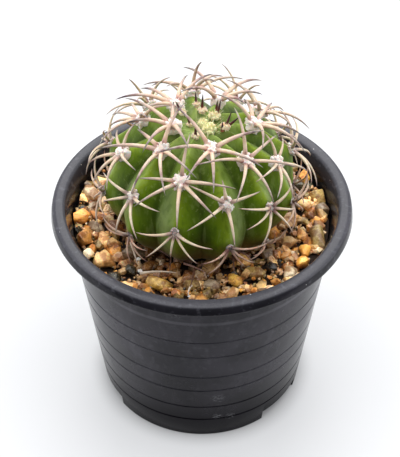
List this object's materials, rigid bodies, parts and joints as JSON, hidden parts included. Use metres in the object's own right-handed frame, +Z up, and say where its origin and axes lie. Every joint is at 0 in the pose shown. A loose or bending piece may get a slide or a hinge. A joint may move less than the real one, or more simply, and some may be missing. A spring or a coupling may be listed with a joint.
{
  "type": "potted round cactus",
  "caption": "Ribbed round cactus with stars of curved spines and a woolly crown, bedded in ochre gravel in a round plastic nursery pot with a rolled rim and a notched foot.",
  "frame": {"origin": "middle of the pot's foot, on the surface that it stands on", "axes": "+Z up, -Y towards the side of the plant that is seen in the picture, +X to its right"},
  "size_m": [0.11, 0.11, 0.137],
  "materials": {
    "pot": "satin black moulded plastic, scuffed and a little dusty",
    "growing_mix": "moist dark peat and grit",
    "gravel": "ochre, tan, grey and dark pebbles, half translucent",
    "cactus_skin": "waxy green skin with a grey bloom on the ribs and a corky base",
    "spines": "horny cream spines, pink at the foot and brown at the tip, with white wool on the pads",
    "wool": "cream and yellow felt of new wool"
  },
  "bodies": {
    "root": {"pot": "pot", "growing_mix": "growing_mix", "gravel": "gravel", "cactus_body": "cactus_skin", "spines_rib01_1": "spines", "spines_rib01_2": "spines", "spines_rib01_3": "spines", "spines_rib02_1": "spines", "spines_rib02_2": "spines", "spines_rib02_3": "spines", "spines_rib03_1": "spines", "spines_rib03_2": "spines", "spines_rib04_1": "spines", "spines_rib04_2": "spines", "spines_rib04_3": "spines", "spines_rib05_1": "spines", "spines_rib05_2": "spines", "spines_rib05_3": "spines", "spines_rib06_1": "spines", "spines_rib06_2": "spines", "spines_rib07_1": "spines", "spines_rib07_2": "spines", "spines_rib07_3": "spines", "spines_rib08_1": "spines", "spines_rib08_2": "spines", "spines_rib09_1": "spines", "spines_rib09_2": "spines", "spines_rib09_3": "spines", "spines_rib10_1": "spines", "spines_rib10_2": "spines", "spines_rib11_1": "spines", "spines_rib11_2": "spines", "spines_rib11_3": "spines", "spines_rib12_1": "spines", "spines_rib12_2": "spines", "spines_rib12_3": "spines", "crown_wool": "wool"}
  },
  "joints": []
}
